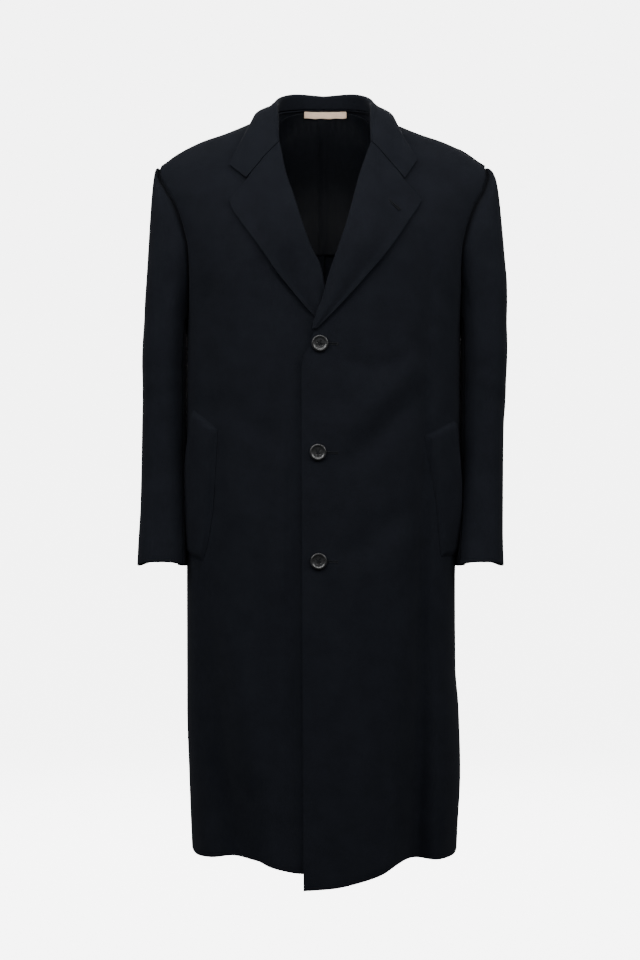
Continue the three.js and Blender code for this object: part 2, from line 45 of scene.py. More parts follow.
# Cloth: thickness, the thickness and soft edge of lapels and collar, how far a piece that lies on a
# panel stands off it, and the gap left at seams
CLOTH = 2.2
LAYERED = (3.0, 1.2)
LAYER = 2.9
OVERLAY = 3.7
SEAM_GAP = 0.06

# Sewn seams: how far the cloth dips in and how wide, how wide the painted seam shadow and the allowance are,
# and where grid lines are set close beside a seam, as shares of a piece's width
SEAM = {"dip": 2.1, "reach": 2.1, "shade": 1.5, "allowance": 9, "places": (0.003, 0.008, 0.016, 0.028)}

# Turned-up edges: grid rows inside, and the radius of the bend
TURN_UP = {"hem": 9, "cuff": 10, "radius": 2.4}

# Body form: half widths to the wearer's right and left, by height
BODY = {
    "z": (-1200, -1130, -1040, -938, -874, -735, -620, -530, -345, -319, -262, -222, -186, -148,
          -121, -88, -60, 40),
    "right": (207, 210, 213, 216, 216, 216, 216, 216, 215, 215.5, 220, 227, 238, 254,
              270, 281, 285, 300),
    "left": (215, 218, 222, 219, 214, 213, 219, 220, 221, 223, 228, 236, 247, 263,
             276, 286, 290, 300),
}

# Depth of the front and the back from the side seams, and how square a level section is
DEPTH = {
    "z": (-1200, -900, -700, -500, -300, -150, -20, 40),
    "front": (158, 155, 153, 152, 150, 146, 143, 140),
    "back": (145, 126, 113, 109, 119, 119, 112, 108),
    "square": (2.1, 2.4, 2.6, 2.6, 2.6, 2.6, 2.6, 2.6),
}

# Top line of the shoulders, by distance from the middle, and how the body falls away below it
RIDGE = {
    "x": (0, 79, 96, 115, 154, 192, 230, 250, 262, 280, 300),
    "z": (12, 10, 1, -8, -24, -37, -56, -70, -78, -95, -115),
}
SHOULDER = {"front": {"drop": 240, "power": 1.6}, "back": {"drop": 140, "power": 1.8}}
NECK = {"middle": 3.5, "half": 78, "back": 80, "side": 8, "rise": 23, "power": 2.2}

# Armhole seam as seen from the front
UNDERARM = -345
SHOULDER_TOP = -76
ARMHOLE = {
    "z": (UNDERARM, -319, -280, -262, -222, -186, -148, -122, -90, SHOULDER_TOP),
    "right": (215, 211.5, 209.7, 209.4, 210.6, 217.9, 230.5, 244.3, 259, 259),
    "left": (221, 219.5, 220.8, 219.6, 220.5, 227.5, 240.5, 254, 262.5, 261),
}

# Front edge and roll line of each front, by height
FRONT_EDGE = {
    "left": {
        "z": (-1200, -395, -375, -332, -300, -270, -234, -188, -149, -110, -76, -48, -21, 8),
        "x": (-28, -31, -22, -11, 1, 9, 21, 36.5, 47, 57, 68, 77, 80, 79),
    },
    "right": {
        "z": (-1200, -375, -322, -264, -247, -229, -188, -140, -106, -57, -39, -7, 8),
        "x": (22, 22, 12, 1, -4, -13.6, -29, -44, -55, -65, -70, -72.5, -72.5),
    },
}
BREAK = {"z": -375, "blend": 40, "inset": 3.7}

# How far the right front lies behind the left one where they cross
UNDERLAP = {"across": (-80, -36), "high": 9.4, "low": 5.8, "lowered": (-450, -385), "fade": (170, 260)}

# Hem heights across the front
HEM = {
    "level": -1170,
    "blend": 110,
    "left": {
        "x": (-30, 20, 55, 90, 118, 130, 157, 186, 208, 216),
        "z": (-1199, -1195, -1188, -1178, -1165, -1163, -1165, -1166, -1166, -1159),
    },
    "right": {
        "x": (0, 36, 64, 82, 100, 138, 177, 198, 208),
        "z": (-1175, -1174, -1169, -1164, -1158, -1158, -1162, -1164, -1158),
    },
}

# Deep folds down the skirt: where each runs and how deep it gets, from the bottom up
FOLD_HEIGHTS = (-1170, -880, -560, -240)
FOLDS = {
    "front": (
        {"top": -240, "x": (145, 153, 160, 168), "reach": 24, "depth": (42, 18, 8, 3)},
        {"top": -240, "x": (-132, -172, -165, -184), "reach": 28, "depth": (30, 12, 6, 3)},
    ),
    "back": (
        {"top": -420, "x": (118, 108, 100, 95), "reach": 34, "depth": (26, 12, 4, 0)},
        {"top": -420, "x": (-122, -110, -98, -90), "reach": 32, "depth": (28, 14, 5, 0)},
    ),
}
FOLD_FADE = {"top": 60, "side": 0.15}

# Shallow creases: a reach, a depth, which draws in where it is above 0, and a line of x and z
CREASES = {
    "front": (
        (11, 7.5, ((168, -225), (160, -527), (152, -761), (152, -997), (143, -1150))),
        (15, 4.5, ((-182, -215), (-168, -560), (-174, -800), (-160, -960), (-140, -1150))),
        (20, 5.0, ((22, -566), (70, -530), (120, -480), (160, -420))),
        (20, -3.4, ((14, -512), (60, -486), (110, -440), (150, -380))),
        (22, 3.6, ((10, -705), (60, -680), (110, -640), (150, -600))),
        (20, 3.4, ((-40, -540), (-90, -510), (-140, -470), (-190, -450))),
        (20, 3.2, ((-30, -395), (-70, -460), (-90, -560), (-95, -660))),
        (18, 3.4, ((15, -392), (70, -410), (120, -400), (160, -360))),
        (14, 4.0, ((-200, -330), (-172, -290), (-152, -230), (-142, -180))),
        (14, 4.0, ((208, -330), (182, -290), (162, -230), (152, -185))),
        (20, -5.0, ((-190, -760), (-150, -800), (-120, -900), (-100, -1060))),
        (22, 6.0, ((70, -730), (78, -860), (92, -1000), (100, -1160))),
        (22, 5.2, ((-70, -720), (-66, -860), (-62, -1000), (-58, -1160))),
        (8, 4.0, ((-43, -410), (-45, -640), (-45, -900), (-43, -1165))),
    ),
    "back": (
        (18, 5.0, ((-205, -320), (-160, -300), (-110, -250), (-80, -200))),
        (18, 5.0, ((210, -320), (165, -300), (115, -250), (85, -200))),
        (20, 4.2, ((-190, -500), (-110, -520), (-40, -512), (0, -505))),
        (20, 4.0, ((195, -470), (120, -492), (50, -488), (4, -480))),
        (20, -5.0, ((-160, -640), (-140, -800), (-135, -980), (-150, -1150))),
        (26, 7.0, ((-45, -620), (-50, -800), (-58, -980), (-62, -1160))),
        (26, 6.5, ((48, -640), (52, -820), (56, -1000), (60, -1160))),
    ),
}

# Sleeve form, by height, turned about its own middle: 0 is outermost, 90 the front
SLEEVE = {
    "cuff": -706,
    "cap_end": -400,
    "pitch": 0.0437,
    "corner_drop": 6,
    "shaped_below": -560,
    "square": 3.1,
    "cap": {"top": 0.17, "under": 0.4, "depth": 0.2},
    "seam_shift": 0.6,
    "outer": {
        "z": (-714, -675, -617, -490, -458, -393, -345, -265, -236, -170, -122, -105, -89, SHOULDER_TOP),
        "right": (290, 289, 286.5, 285, 284.5, 285.5, 285, 280.5, 279, 276, 273.5, 272, 270, 259),
        "left": (285.5, 285, 286, 288.5, 291, 294, 296, 297, 295, 291, 288, 286, 280, 261),
    },
    "inner": {
        "z": (-714, -620, -530, -345),
        "right": (212.8, 214, 215.4, 216.2),
        "left": (210.5, 216.6, 219.5, 221.5),
    },
    "depth": {"z": (-714, -620, -500, -430, -345, -76), "half": (57, 64, 75, 82, 88, 88)},
    "middle": {
        "z": (-714, -665, -620, -560, -500, -430, -345, -76),
        "y": (-44, -31, -21, -12, -5, 0, 4, 0),
    },
}

# Sleeve seams, as turns, with the under piece's allowance: how far past the seam it runs and lies in
SLEEVE_SEAM = {"front": 150, "back": 285, "gap": 0.05, "near": 0.5, "past": 5, "under": 2.7, "degree": 1.3}

# Creases on the sleeves, the same with lines of turn and height
SLEEVE_CREASES = (
    (18, 1.8, ((20, -470), (60, -452), (100, -440), (150, -446))),
    (18, 1.4, ((10, -432), (55, -408), (100, -398), (160, -404))),
    (24, 1.4, ((-30, -300), (20, -330), (70, -345), (120, -350))),
    (22, 1.4, ((30, -560), (70, -572), (110, -560), (150, -540))),
    (18, 3.0, ((200, -455), (240, -430), (280, -420), (320, -440))),
    (18, 2.4, ((190, -380), (230, -350), (270, -345), (310, -360))),
    (16, 1.2, ((96, -170), (92, -230), (84, -300), (76, -360))),
)

# Outer edge of each lapel below its tip, and the height where its top edge starts
LAPEL = {
    "top": -59,
    "left": {
        "z": (-350, -340, -320, -293, -263, -233, -205, -183, -160, -149),
        "x": (-9, 1.5, 21, 46, 72, 97, 117, 131, 146.5, 152.5),
    },
    "right": {
        "z": (-345, -338, -330, -322, -296, -264, -227, -191, -161, -150),
        "x": (9, 1, -10.6, -19, -41.5, -67, -92, -118, -137.6, -141.5),
    },
    "belly": 5,
    "edge_lift": 3.2,
    "tuck": 3.0,
}

# Collar: stand and roll, and the fall's outer edge from the middle of the back to its tip, as a drop
# from the shoulder line. A turn of 0 is the middle of the back, 1 the side and 2 the front end.
COLLAR = {
    "stand": {"turn": (0, 0.45, 0.7, 1), "height": (21.5, 26, 24, 16.5)},
    "side_row": 5,
    "roll": {"back": 5, "front": LAYER},
    "middle": {"back": 1, "front": 0},
    "lean": 0.12,
    "bulge": 7,
    "lift": 4.4,
    "end_lift": 1.6,
    "ending_from": 1.4,
    "end": -54.5,
    "left": {
        "x": (3.5, 30, 62, 88, 105, 112, 125, 138.5, 144.4),
        "drop": (-43, -42, -37, -24, -10, 4, 32, 54, 66),
        "notch": (126.5, -115),
        "gorge": (78, -56),
    },
    "right": {
        "x": (3.5, -23, -55, -81, -98, -105, -118, -133, -140.3),
        "drop": (-43, -42, -37, -24, -10, 5, 30, 58, 76),
        "notch": (-115.6, -114.7),
        "gorge": (-68, -56),
    },
}
NOTCH_PLACE = 0.7

# Pocket welts: seam to the front and open edge, from the bottom up
WELT = {
    "left": {
        "seam": {"z": (-697, -673, -625, -564, -512), "x": (184, 181, 177.3, 168, 157)},
        "open": {"z": (-696, -625, -487), "x": (209, 210, 206)},
        "gape": 6,
    },
    "right": {
        "seam": {"z": (-704, -684, -619, -560, -502), "x": (-185, -178, -167, -163, -160)},
        "open": {"z": (-695, -576, -470), "x": (-207, -211, -199)},
        "gape": 2,
    },
    "sewn": 0.9,
    "thick": 3.4,
    "soft_edge": 1.3,
}

# Half lining, with its fine puckers under the neck seam, its centre pleat and its sag, and the label
LINING = {
    "wall": 0.8, "bottom": -205, "neck_drop": 3, "shoulder_drop": 14, "inset": 10, "slack": 2,
    "pucker": {"depth": 0.9, "below": 26, "reach": 12, "within": 60},
    "pleat": {"depth": 1.6, "reach": 3.5, "fade": 40},
    "sag": {"depth": 0.84, "middle": 70, "reach": 45},
}
LABEL = {
    "wall": 0.5, "middle": 6, "width": 75, "height": 10, "top": 28, "slack": 1.6,
    "stitch": (0.95, 0.14, 0.16), "spacing": 2.6,
}
LINING_LIFT = -(LAYER + LINING["slack"])
LABEL_LIFT = LINING_LIFT - 1 - LABEL["slack"]

# Buttons: half a section from the middle of the underside to the middle of the dish, as radius and height
BUTTON = {
    "outline": (
        (0, 0), (11.4, 0), (12.3, 0.35), (12.75, 1.2), (12.75, 2.6), (12.4, 3.4), (11.5, 3.95),
        (10.5, 4.0), (9.7, 3.75), (9.1, 3.2), (8.2, 2.75), (5.5, 2.5), (0, 2.5),
    ),
    "sunk": 0.4,
    "hole": 1.0,
    "hole_ring": 3.4,
    "places": {"top": (-3, -372), "middle": (-6, -537), "bottom": (-5, -702)},
    "turn": {"top": 0.35, "middle": 0.1, "bottom": 0.2},
}
THREAD = {
    "height": 3.0, "strands": (-0.55, 0, 0.55), "half": 3.9, "thick": 0.55, "wide": 0.36, "crossing": 0.25,
}
BUTTONHOLE = {"spacing": 0.75, "half": 1.15, "end": 1.9, "bar": 0.9, "thread": 0.42, "start": 3, "reach": 24}
LAPEL_HOLE = {"start": (98.8, -152.2), "end": (116.6, -167.5), "lift": 3.2}


def lerp(a, b, t):
    return a + (b - a) * t


def smooth(value, low, high):
    """Rises softly from 0 at low to 1 at high."""
    t = np.clip((value - low) / (high - low), 0, 1)
    return t * t * (3 - 2 * t)


def curve(at, value):
    """A smooth curve through values given at rising places, with no overshoot."""
    at, value = np.array(at, float), np.array(value, float)
    rise = np.diff(value) / np.diff(at)
    before, after = np.append(rise[0], rise), np.append(rise, rise[-1])
    same = before * after > 0
    slope = np.where(same, 2 * before * after / np.where(same, before + after, 1), 0)

    def read(place):
        x = np.clip(place, at[0], at[-1])
        i = np.clip(np.searchsorted(at, x, side="right") - 1, 0, len(at) - 2)
        step = at[i + 1] - at[i]
        t = (x - at[i]) / step
        mixed = lerp(value[i], value[i + 1], smooth(t, 0, 1))
        return mixed + step * t * (1 - t) * ((1 - t) * slope[i] - t * slope[i + 1])

    return read


def edge_curve(table):
    """How far out an edge lies at each height."""
    return curve(table["z"], table["x"])


def column(low, high, count):
    return np.linspace(low, high, count)[:, None]


def spaced(count):
    """Even places from 0 to 1, with closer ones beside both ends for the seams."""
    even = np.linspace(0, 1, count)
    near = np.array(SEAM["places"])
    inside = even[(even > near[-1] * 1.3) & (even < 1 - near[-1] * 1.3)]
    return np.concatenate(([0], near, inside, 1 - near[::-1], [1]))


def unit(vectors):
    return vectors / np.maximum(np.linalg.norm(vectors, axis=-1, keepdims=True), 1e-9)


def stack(x, y, z):
    return np.stack(np.broadcast_arrays(x, y, z), axis=-1)


half_width = {side: curve(BODY["z"], BODY[side]) for side in SIDES}
depth_of = {face: curve(DEPTH["z"], DEPTH[face]) for face in ("front", "back")}
square_of = curve(DEPTH["z"], DEPTH["square"])
ridge_line = curve(RIDGE["x"], RIDGE["z"])
armhole = {side: curve(ARMHOLE["z"], ARMHOLE[side]) for side in SIDES}
hem = {side: curve(HEM[side]["x"], HEM[side]["z"]) for side in SIDES}
fold_lines = {
    face: [
        {**fold, "place": curve(FOLD_HEIGHTS, fold["x"]), "deep": curve(FOLD_HEIGHTS, fold["depth"])}
        for fold in folds
    ]
    for face, folds in FOLDS.items()
}


def round_up(t, power):
    """Rises from 0 with a steep start to 1."""
    return (1 - (1 - np.clip(t, 0, 1)) ** power) ** (1 / power)


def neck_depth(x):
    """Depth of the back of the neck opening at a distance from its middle."""
    u = np.minimum(np.abs(x - NECK["middle"]) / NECK["half"], 1)
    return NECK["back"] * (1 - u ** NECK["power"]) ** (1 / NECK["power"])


def top_of(x, face):
    """Top of the body: the shoulder line, or at the back the neck seam."""
    ridge = ridge_line(np.abs(x))
    if face == "front":
        return ridge
    seam = NECK["side"] + NECK["rise"] * neck_depth(x) / NECK["back"]
    return np.where(np.abs(x - NECK["middle"]) < NECK["half"], seam, ridge)


def crease_depth(across, z, creases):
    """How far the listed creases draw the cloth in. Each fades towards the ends of its line."""
    total = np.zeros(np.broadcast(across, z).shape)
    for reach, depth, line in creases:
        line = np.array(line, float)
        lengths = np.append(0, np.cumsum(np.linalg.norm(np.diff(line, axis=0), axis=1)))
        best = np.full(total.shape, np.inf)
        along = np.zeros(total.shape)
        for i, (start, end) in enumerate(zip(line[:-1], line[1:])):
            way = end - start
            t = ((across - start[0]) * way[0] + (z - start[1]) * way[1]) / (way @ way)
            t = np.clip(t, 0, 1)
            off = np.hypot(across - start[0] - t * way[0], z - start[1] - t * way[1])
            nearer = off < best
            best = np.where(nearer, off, best)
            along = np.where(nearer, lengths[i] + t * (lengths[i + 1] - lengths[i]), along)
        part = along / lengths[-1]
        total += depth * np.exp(-((best / reach) ** 2)) * np.sin(np.pi * part) ** 0.7
    return total


def fold_depth(x, z, face):
    """How far creases and deep folds draw the cloth in."""
    total = crease_depth(x, z, CREASES[face])
    for fold in fold_lines[face]:
        off = (x - fold["place"](z)) / fold["reach"]
        shown = smooth(fold["top"] - z, -FOLD_FADE["top"], FOLD_FADE["top"])
        total = total + fold["deep"](z) * np.exp(-off * off) * shown
    return total


def body_point(x, z, face):
    """Outer point of the body at x and z."""
    u = np.minimum(np.abs(x) / np.where(x < 0, half_width["right"](z), half_width["left"](z)), 1)
    power = square_of(z)
    shoulder = SHOULDER[face]
    start = neck_depth(x) if face == "back" else np.zeros_like(x)
    full = depth_of[face](z) * (1 - u ** power) ** (1 / power)
    fall = np.clip((top_of(x, face) - z) / shoulder["drop"], 0, 1)
    away = lerp(round_up(fall, shoulder["power"]), 1 - (1 - fall) ** 2, start / NECK["back"])
    fold = fold_depth(x, z, face) * smooth(1 - u, 0, FOLD_FADE["side"])
    y = np.maximum(lerp(start, full, away) - fold, 0.1)
    return stack(x, -y if face == "front" else y, z)


def over(x, z, face, lift):
    """A point over the body's outer face, moved out along the face's normal."""
    x, z = np.broadcast_arrays(np.asarray(x, float), np.asarray(z, float))
    here = body_point(x, z, face)
    low, high = -half_width["right"](z), half_width["left"](z)
    across = body_point(np.minimum(x + 1, high), z, face) - body_point(np.maximum(x - 1, low), z, face)
    side = np.where(x < 0, half_width["right"](z - 1) / -low, half_width["left"](z - 1) / high)
    down = body_point(x * side, z - 1, face) - here
    normal = np.cross(down, across) if face == "front" else np.cross(across, down)
    return here + unit(normal) * np.asarray(lift)[..., None]


def over_part(in_front, x, z, lift):
    """A point over the front where in_front is true, and over the back elsewhere."""
    return np.where(in_front[..., None], over(x, z, "front", lift), over(x, z, "back", lift))


def underlap(x, z):
    deep = lerp(UNDERLAP["low"], UNDERLAP["high"], smooth(z, *UNDERLAP["lowered"]))
    return deep * smooth(x, *UNDERLAP["across"]) * smooth(-z, *UNDERLAP["fade"])


def over_front(side, x, z, lift):
    """A point over a front, moved out, with the right front's set-back."""
    return over(x, z, "front", lift - (underlap(x, z) if side == "right" else 0 * x))


class Value:
    """A shader socket whose sums and products are Math nodes."""

    def __init__(self, finish, socket):
        self.finish, self.socket = finish, socket

    def math(self, operation, *values):
        return self.finish.node("ShaderNodeMath", {"operation": operation}, dict(enumerate(values)))

    def __add__(self, other):
        return self.math("ADD", self, other)

    def __mul__(self, other):
        return self.math("MULTIPLY", self, other)

    __radd__ = __add__
    __rmul__ = __mul__


class Finish:
    """A node material."""

    def __init__(self, name, **values):
        self.material = bpy.data.materials.new(name)
        self.material.use_nodes = True
        self.tree = self.material.node_tree
        self.surface = self.tree.nodes["Principled BSDF"]
        self.place = self.node("ShaderNodeTexCoord", output="Object")
        for socket, value in values.items():
            self.surface.inputs[socket.replace("_", " ")].default_value = value

    def node(self, kind, settings=None, inputs=None, output=0):
        made = self.tree.nodes.new(kind)
        for key, value in (settings or {}).items():
            setattr(made, key, value)
        for key, value in (inputs or {}).items():
            if isinstance(value, Value):
                self.tree.links.new(value.socket, made.inputs[key])
            else:
                made.inputs[key].default_value = value
        return Value(self, made.outputs[output])

    def noise(self, scale, detail, roughness, distortion=0, turn=(0, 0, 0)):
        """Noise of one scale, or drawn out by a scale for each axis, and turned."""
        place = self.place
        if isinstance(scale, tuple):
            place = self.node("ShaderNodeMapping", {}, {"Vector": place, "Scale": scale, "Rotation": turn})
            scale = 1
        inputs = {"Vector": place, "Scale": scale, "Detail": detail, "Roughness": roughness}
        return self.node("ShaderNodeTexNoise", {}, {**inputs, "Distortion": distortion})

    def range(self, value, low, high, to_low, to_high):
        settings = {"interpolation_type": "SMOOTHSTEP"}
        inputs = {0: value, 1: low, 2: high, 3: to_low, 4: to_high}
        return self.node("ShaderNodeMapRange", settings, inputs)

    def mix(self, factor, *colours):
        """Mixes two colours, each a value or red, green and blue."""
        first, second = (colour if isinstance(colour, Value) else (*colour, 1) for colour in colours)
        return self.node("ShaderNodeMix", {"data_type": "RGBA"}, {0: factor, 6: first, 7: second}, output=2)

    def done(self, colour, roughness, height, strength, distance):
        """Joins the colour, the roughness and the bump to the surface."""
        inputs = {"Height": height, "Strength": strength, "Distance": distance}
        bump = self.node("ShaderNodeBump", {}, inputs)
        for socket, value in (("Base Color", colour), ("Roughness", roughness), ("Normal", bump)):
            self.tree.links.new(value.socket, self.surface.inputs[socket])
        return self.material


def wool_finish(name, dark, light):
    """Milled overcoating: a felted face of short fibres over a faint twill, with painted shade down in its
    seams.
    """
    finish = Finish(name, Specular_IOR_Level=0.06, Sheen_Weight=0.012, Sheen_Roughness=0.5,
                    Sheen_Tint=(0.75, 0.8, 0.95, 1))
    felt = finish.noise(620, 4, 0.65)
    fibres = finish.noise((1600, 1600, 420), 3, 0.7, 0.6, (0.3, 0.5, 0.4))
    lint = finish.noise((520, 520, 2100), 2, 0.6, 1.2, (0.9, 0.2, 1.1))
    cloudy = finish.noise(26, 3, 0.6)
    fleck = finish.range(lint, 0.66, 0.8, 0, 0.5)
    tone = finish.range(felt * 0.55 + fibres * 0.3 + cloudy * 0.3, 0.35, 0.8, 0, 1)
    colour = finish.mix(fleck, finish.mix(tone, dark, light), [part * 2.2 for part in light])
    # Painted shade: the cloth goes near black along its seams, where the seam attribute is high.
    seam = finish.node("ShaderNodeAttribute", {"attribute_name": "seam"}, output="Fac")
    colour = finish.mix(seam * 0.85, colour, (0.0005, 0.0006, 0.0009))
    rough = finish.range(felt, 0.3, 0.7, 0.82, 1.0)
    return finish.done(colour, rough, felt * 0.6 + fibres * 0.5 + fleck * 0.3, 0.55, 0.0007)


def satin_finish():
    """Lining satin: a fine warp that runs down the cloth."""
    finish = Finish("lining_satin", Specular_IOR_Level=0.14, Anisotropic=0.4)
    warp = finish.noise((2600, 2600, 60), 2, 0.5)
    slub = finish.noise((300, 300, 18), 3, 0.5)
    tone = finish.range(warp * 0.6 + slub * 0.4, 0.3, 0.7, 0, 1)
    colour = finish.mix(tone, (0.0026, 0.0031, 0.0044), (0.005, 0.0058, 0.008))
    rough = finish.range(warp + slub * 0.5, 0.4, 1.1, 0.36, 0.52)
    return finish.done(colour, rough, warp * 0.7 + slub * 0.6, 0.25, 0.0003)


def tape_finish():
    """Woven label tape, ribbed across."""
    finish = Finish("label_tape", Specular_IOR_Level=0.3)
    rib = finish.noise((2400, 2400, 160), 1, 0.4)
    weft = finish.noise((140, 140, 2600), 2, 0.5)
    worn = finish.noise(70, 3, 0.6)
    tone = finish.range(rib * 0.45 + weft * 0.35 + worn * 0.2, 0.3, 0.7, 0, 1)
    colour = finish.mix(tone, (0.68, 0.48, 0.35), (0.9, 0.69, 0.52))
    return finish.done(colour, finish.range(worn, 0.3, 0.7, 0.62, 0.8), rib * 0.5 + weft * 0.5, 0.4, 0.0003)


def horn_finish():
    """Polished dark buttons with faint streaks like horn."""
    finish = Finish("button_horn", Specular_IOR_Level=0.4, Coat_Weight=0.12, Coat_Roughness=0.15)
    streak = finish.noise((60, 60, 260), 3, 0.6, 1.5, (0.2, 0.5, 0.3))
    scuff = finish.noise(900, 3, 0.6)
    tone = finish.range(streak, 0.35, 0.7, 0, 1)
    colour = finish.mix(tone, (0.004, 0.0045, 0.005), (0.012, 0.0125, 0.0135))
    return finish.done(colour, finish.range(scuff, 0.35, 0.75, 0.24, 0.42), scuff, 0.08, 0.0002)


def thread_finish(name, dark, light):
    """Twisted sewing thread."""
    finish = Finish(name, Specular_IOR_Level=0.12, Sheen_Weight=0.01)
    twist = finish.noise((2400, 2400, 2400), 2, 0.6, 0, (0.7, 0.4, 0.9))
    colour = finish.mix(finish.range(twist, 0.35, 0.7, 0, 1), dark, light)
    return finish.done(colour, finish.range(twist, 0.3, 0.7, 0.5, 0.75), twist, 0.4, 0.0003)


FINISHES = {
    "wool": wool_finish("overcoat_wool", (0.0030, 0.0036, 0.0053), (0.0063, 0.0073, 0.0103)),
    "lining": satin_finish(),
    "label": tape_finish(),
    "button": horn_finish(),
    "thread": thread_finish("dark_thread", (0.0022, 0.0026, 0.0038), (0.0046, 0.0054, 0.0074)),
    "tape_thread": thread_finish("tape_thread", (0.42, 0.34, 0.27), (0.6, 0.5, 0.4)),
}
KINDS = {"wool": "cloth", "lining": "satin", "label": "tape"}


def added(name, data):
    """Adds an object to the scene."""
    placed = bpy.data.objects.new(name, data)
    bpy.context.scene.collection.objects.link(placed)
    return placed


def meshed(name, bm, *materials):
    """Adds an object made from a bmesh."""
    mesh = bpy.data.meshes.new(name)
    bm.to_mesh(mesh)
    bm.free()
    for material in materials:
        mesh.materials.append(material)
    return added(name, mesh)


def finished(name, bm, finish, *nodes):
    """Makes a piece of the coat from a bmesh."""
    piece = meshed(name, bm, FINISHES[finish])
    piece.data.shade_smooth()
    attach(piece, "root")
    if nodes:
        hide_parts(*nodes)
    return piece


def normals_of(points, out):
    """Normals of a grid of points, turned so that the middle one faces roughly out."""
    along = np.gradient(points, axis=1)
    down = np.gradient(points, axis=0)
    normal = unit(np.cross(along, down))
    middle = normal[points.shape[0] // 2, points.shape[1] // 2]
    return normal * np.sign(middle @ np.array(out, float))


def turned_in(points, out, edge):
    """Adds a turned-in hem after the last row: a soft bend, then the cloth's own rows again, inside."""
    radius = TURN_UP["radius"]
    normal = normals_of(points, out)
    last, inward = points[-1], -normal[-1]
    down = unit(points[-1] - points[-3])
    bend = [
        last + down * radius * np.sin(angle) + inward * radius * (1 - np.cos(angle))
        for angle in np.linspace(0, np.pi, 7)[1:]
    ]
    inside = [points[-i] - normal[-i] * 2 * radius for i in range(2, TURN_UP[edge])]
    return np.concatenate((points, np.array(bend), np.array(inside)))


made = {}


def cloth(node, points, out, thick=CLOTH, soft_edge=0.7, finish="wool", seam=None):
    """A node's sheet of cloth, with its outer face on the points. seam is how much painted seam shade each
    point gets.
    """
    rows, columns = points.shape[:2]
    bm = bmesh.new()
    bm.loops.layers.uv.new("UVMap")
    bmesh.ops.create_grid(bm, x_segments=columns - 1, y_segments=rows - 1, size=0.5, calc_uvs=True)
    seam = np.zeros((rows, columns)) if seam is None else np.pad(seam, ((0, rows - len(seam)), (0, 0)))
    # The seam layer carries each point's painted seam shade to the wool finish.
    shade = bm.verts.layers.float.new("seam")
    for vert in bm.verts:
        at = round((vert.co.y + 0.5) * (rows - 1)), round((vert.co.x + 0.5) * (columns - 1))
        vert.co = points[at] * MM
        vert[shade] = seam[at]
    bm.normal_update()
    bm.faces.ensure_lookup_table()
    middle = normals_of(points, out)[rows // 2, columns // 2]
    here = Vector(points[rows // 2, columns // 2] * MM)
    nearest = min(bm.faces, key=lambda face: (face.calc_center_median() - here).length)
    if nearest.normal.dot(Vector(middle)) < 0:
        bmesh.ops.reverse_faces(bm, faces=bm.faces)
    piece = made[node] = finished(f"{node}_{KINDS[finish]}", bm, finish, node)
    wall = piece.modifiers.new("wall", "SOLIDIFY")
    wall.thickness = thick * MM
    wall.offset = -1
    edge = piece.modifiers.new("edge", "BEVEL")
    edge.width = soft_edge * MM
    edge.segments = 2
    edge.limit_method = "ANGLE"
    edge.angle_limit = 1.0


def seam_dip(*distances):
    return sum(-SEAM["dip"] * np.exp(-((np.abs(d) / SEAM["reach"]) ** 2)) for d in distances)


def painted_seam_shade(points, *lines):
    """How much painted shade each point gets from the seams along the lines, from 0 to 1."""
    distance = np.min([np.linalg.norm(points - line, axis=-1) for line in lines], axis=0)
    return np.exp(-((distance / SEAM["shade"]) ** 2))


def front_edge(side):
    edge = edge_curve(FRONT_EDGE[side])
    inset = SIDES[side] * BREAK["inset"]
    return lambda z: edge(z) + inset * smooth(z, BREAK["z"] - BREAK["blend"], BREAK["z"])


def panel_grid(side, face, middle_at, columns, rows):
    """One grid for a front or half a back, from its middle edge to its side seam and armhole."""
    sign = SIDES[side]
    below = (1 - column(0, 1, rows)) ** 1.5
    outer_z = lerp(SHOULDER_TOP, HEM["level"], below)
    middle_z = lerp(top_of(middle_at(np.array(float(NECK["side"]))), face), HEM["level"], below)
    width = half_width[side](outer_z)
    outer = np.where(outer_z < UNDERARM, width, armhole[side](outer_z))
    middle = middle_at(middle_z) * sign
    start, end = np.arcsin(middle / width), np.arcsin(np.minimum(outer / width, 1))
    s = spaced(columns)[None, :]
    x = width * np.sin(lerp(start, end, s))
    part = (x - middle) / (outer - middle)
    bow = top_of(x * sign, face) - lerp(top_of(middle * sign, face), top_of(outer * sign, face), part)
    z = lerp(middle_z, outer_z, part) + bow * (1 - smooth(below, 0, 0.12))
    drop = hem[side](x) - HEM["level"] if face == "front" else 0
    height = z + drop * smooth(HEM["level"] + HEM["blend"] - z, 0, HEM["blend"])
    on_seam = (s == 1) & (outer_z < UNDERARM)
    x = np.where(on_seam, half_width[side](height), x)
    to_seam, to_top = (outer - x) * 1.3, (top_of(x * sign, face) - height) * 1.3
    if face == "front":
        return over_front(side, sign * x, height, seam_dip(to_seam, to_top))[::-1]
    return over(sign * x, height, "back", seam_dip(to_seam, x - middle, to_top))[::-1]


def make_front(side):
    points = turned_in(panel_grid(side, "front", front_edge(side), 76, 230), FORWARD, "hem")
    # Painted shade along the side seam and the armhole.
    cloth(f"front_{side}", points, FORWARD, seam=painted_seam_shade(points, points[:, -1:]))


def with_allowance(points, side, lift):
    """Adds the seam allowance of the left half, which lies under the right half at the middle."""
    if side == "right":
        return points
    x, z = points[:, :1, 0] - np.array((SEAM["allowance"], 1)), points[:, :1, 2] + np.zeros(2)
    return np.concatenate((over(x, z, "back", np.array(lift) + 0 * x), points), axis=1)


def make_back(side):
    middle = NECK["middle"] + SIDES[side] * SEAM_GAP
    points = panel_grid(side, "back", lambda z: middle + 0 * z, 66, 220)
    points = turned_in(with_allowance(points, side, (-2.5, -4.0)), BACKWARD, "hem")
    inner = 2 if side == "left" else 0
    # Painted shade along the side seam and the middle seam of the back.
    seam = painted_seam_shade(points, points[:, -1:], points[:, inner:inner + 1])
    cloth(f"back_{side}", points, BACKWARD, seam=seam)


